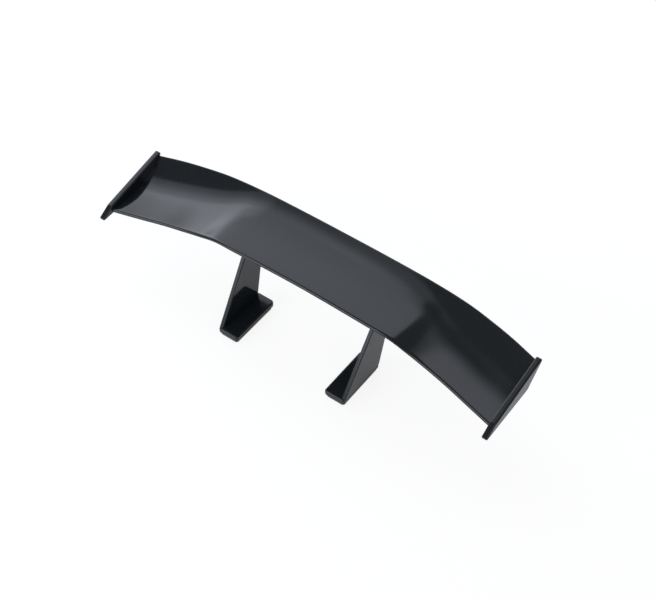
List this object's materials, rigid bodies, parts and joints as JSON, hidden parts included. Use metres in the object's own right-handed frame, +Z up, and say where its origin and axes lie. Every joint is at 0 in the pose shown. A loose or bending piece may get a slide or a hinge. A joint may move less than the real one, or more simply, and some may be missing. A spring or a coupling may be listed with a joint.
{
  "type": "stick-on rear wing",
  "caption": "Small cambered rear wing with drooped, twisted tips, flat endplates and two leaning legs whose feet stick to a panel with foam tape.",
  "frame": {"origin": "middle of the wing's bounding box in plan, at the height of the panel that the feet stand on", "axes": "+X along the span towards the right-hand endplate as seen from the front, -Y towards the leading edge, +Z up away from the panel"},
  "size_m": [0.17, 0.0412, 0.0366],
  "materials": {
    "gloss_black_plastic": "high gloss injection moulded, with faint ripple and fine handling marks",
    "screw_steel": "black zinc plated",
    "foam_tape": "closed-cell acrylic foam with cut edges",
    "liner_film": "silicone-coated white release paper"
  },
  "bodies": {
    "root": {"main_plane": "gloss_black_plastic", "endplate_left": "gloss_black_plastic", "leg_left": "gloss_black_plastic", "foot_tape_left": "foam_tape", "tape_liner_left": "liner_film", "leg_screw_left_front": "screw_steel", "leg_screw_left_rear": "screw_steel", "endplate_right": "gloss_black_plastic", "leg_right": "gloss_black_plastic", "foot_tape_right": "foam_tape", "tape_liner_right": "liner_film", "leg_screw_right_front": "screw_steel", "leg_screw_right_rear": "screw_steel"}
  },
  "joints": []
}
